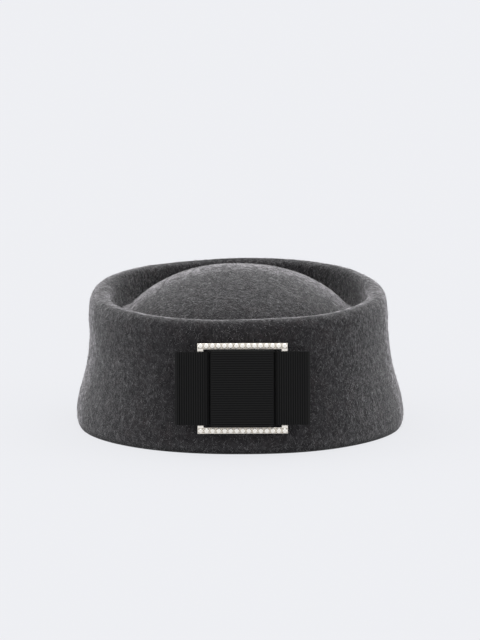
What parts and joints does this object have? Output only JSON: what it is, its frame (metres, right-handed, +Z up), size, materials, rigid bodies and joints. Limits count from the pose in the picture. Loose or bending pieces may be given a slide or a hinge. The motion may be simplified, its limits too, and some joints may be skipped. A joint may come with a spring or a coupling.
{
  "type": "felt hat",
  "caption": "Small moulded felt pillbox hat with a rolled rim, a domed tip and a flat ribbon bow held in a stone-set square buckle.",
  "frame": {"origin": "middle of the whole hat's outline, bow included, on the surface it stands on", "axes": "+Z up, the bow faces -Y, +X is to the right in a view from the front"},
  "size_m": [0.175, 0.209, 0.0833],
  "materials": {
    "charcoal_felt": "matt melange wool felt",
    "black_grosgrain": "ribbed, slightly silky",
    "bright_metal": "polished",
    "clear_crystal": "faceted, foil-backed"
  },
  "bodies": {
    "root": {"felt_body": "charcoal_felt", "bow_loop": "black_grosgrain", "bow_centre": "black_grosgrain", "buckle_frame": "bright_metal", "stone_upper_01": "clear_crystal", "stone_upper_02": "clear_crystal", "stone_upper_03": "clear_crystal", "stone_upper_04": "clear_crystal", "stone_upper_05": "clear_crystal", "stone_upper_06": "clear_crystal", "stone_upper_07": "clear_crystal", "stone_upper_08": "clear_crystal", "stone_upper_09": "clear_crystal", "stone_upper_10": "clear_crystal", "stone_upper_11": "clear_crystal", "stone_upper_12": "clear_crystal", "stone_upper_13": "clear_crystal", "stone_upper_14": "clear_crystal", "stone_upper_15": "clear_crystal", "stone_lower_01": "clear_crystal", "stone_lower_02": "clear_crystal", "stone_lower_03": "clear_crystal", "stone_lower_04": "clear_crystal", "stone_lower_05": "clear_crystal", "stone_lower_06": "clear_crystal", "stone_lower_07": "clear_crystal", "stone_lower_08": "clear_crystal", "stone_lower_09": "clear_crystal", "stone_lower_10": "clear_crystal", "stone_lower_11": "clear_crystal", "stone_lower_12": "clear_crystal", "stone_lower_13": "clear_crystal", "stone_lower_14": "clear_crystal", "stone_lower_15": "clear_crystal"}
  },
  "joints": []
}
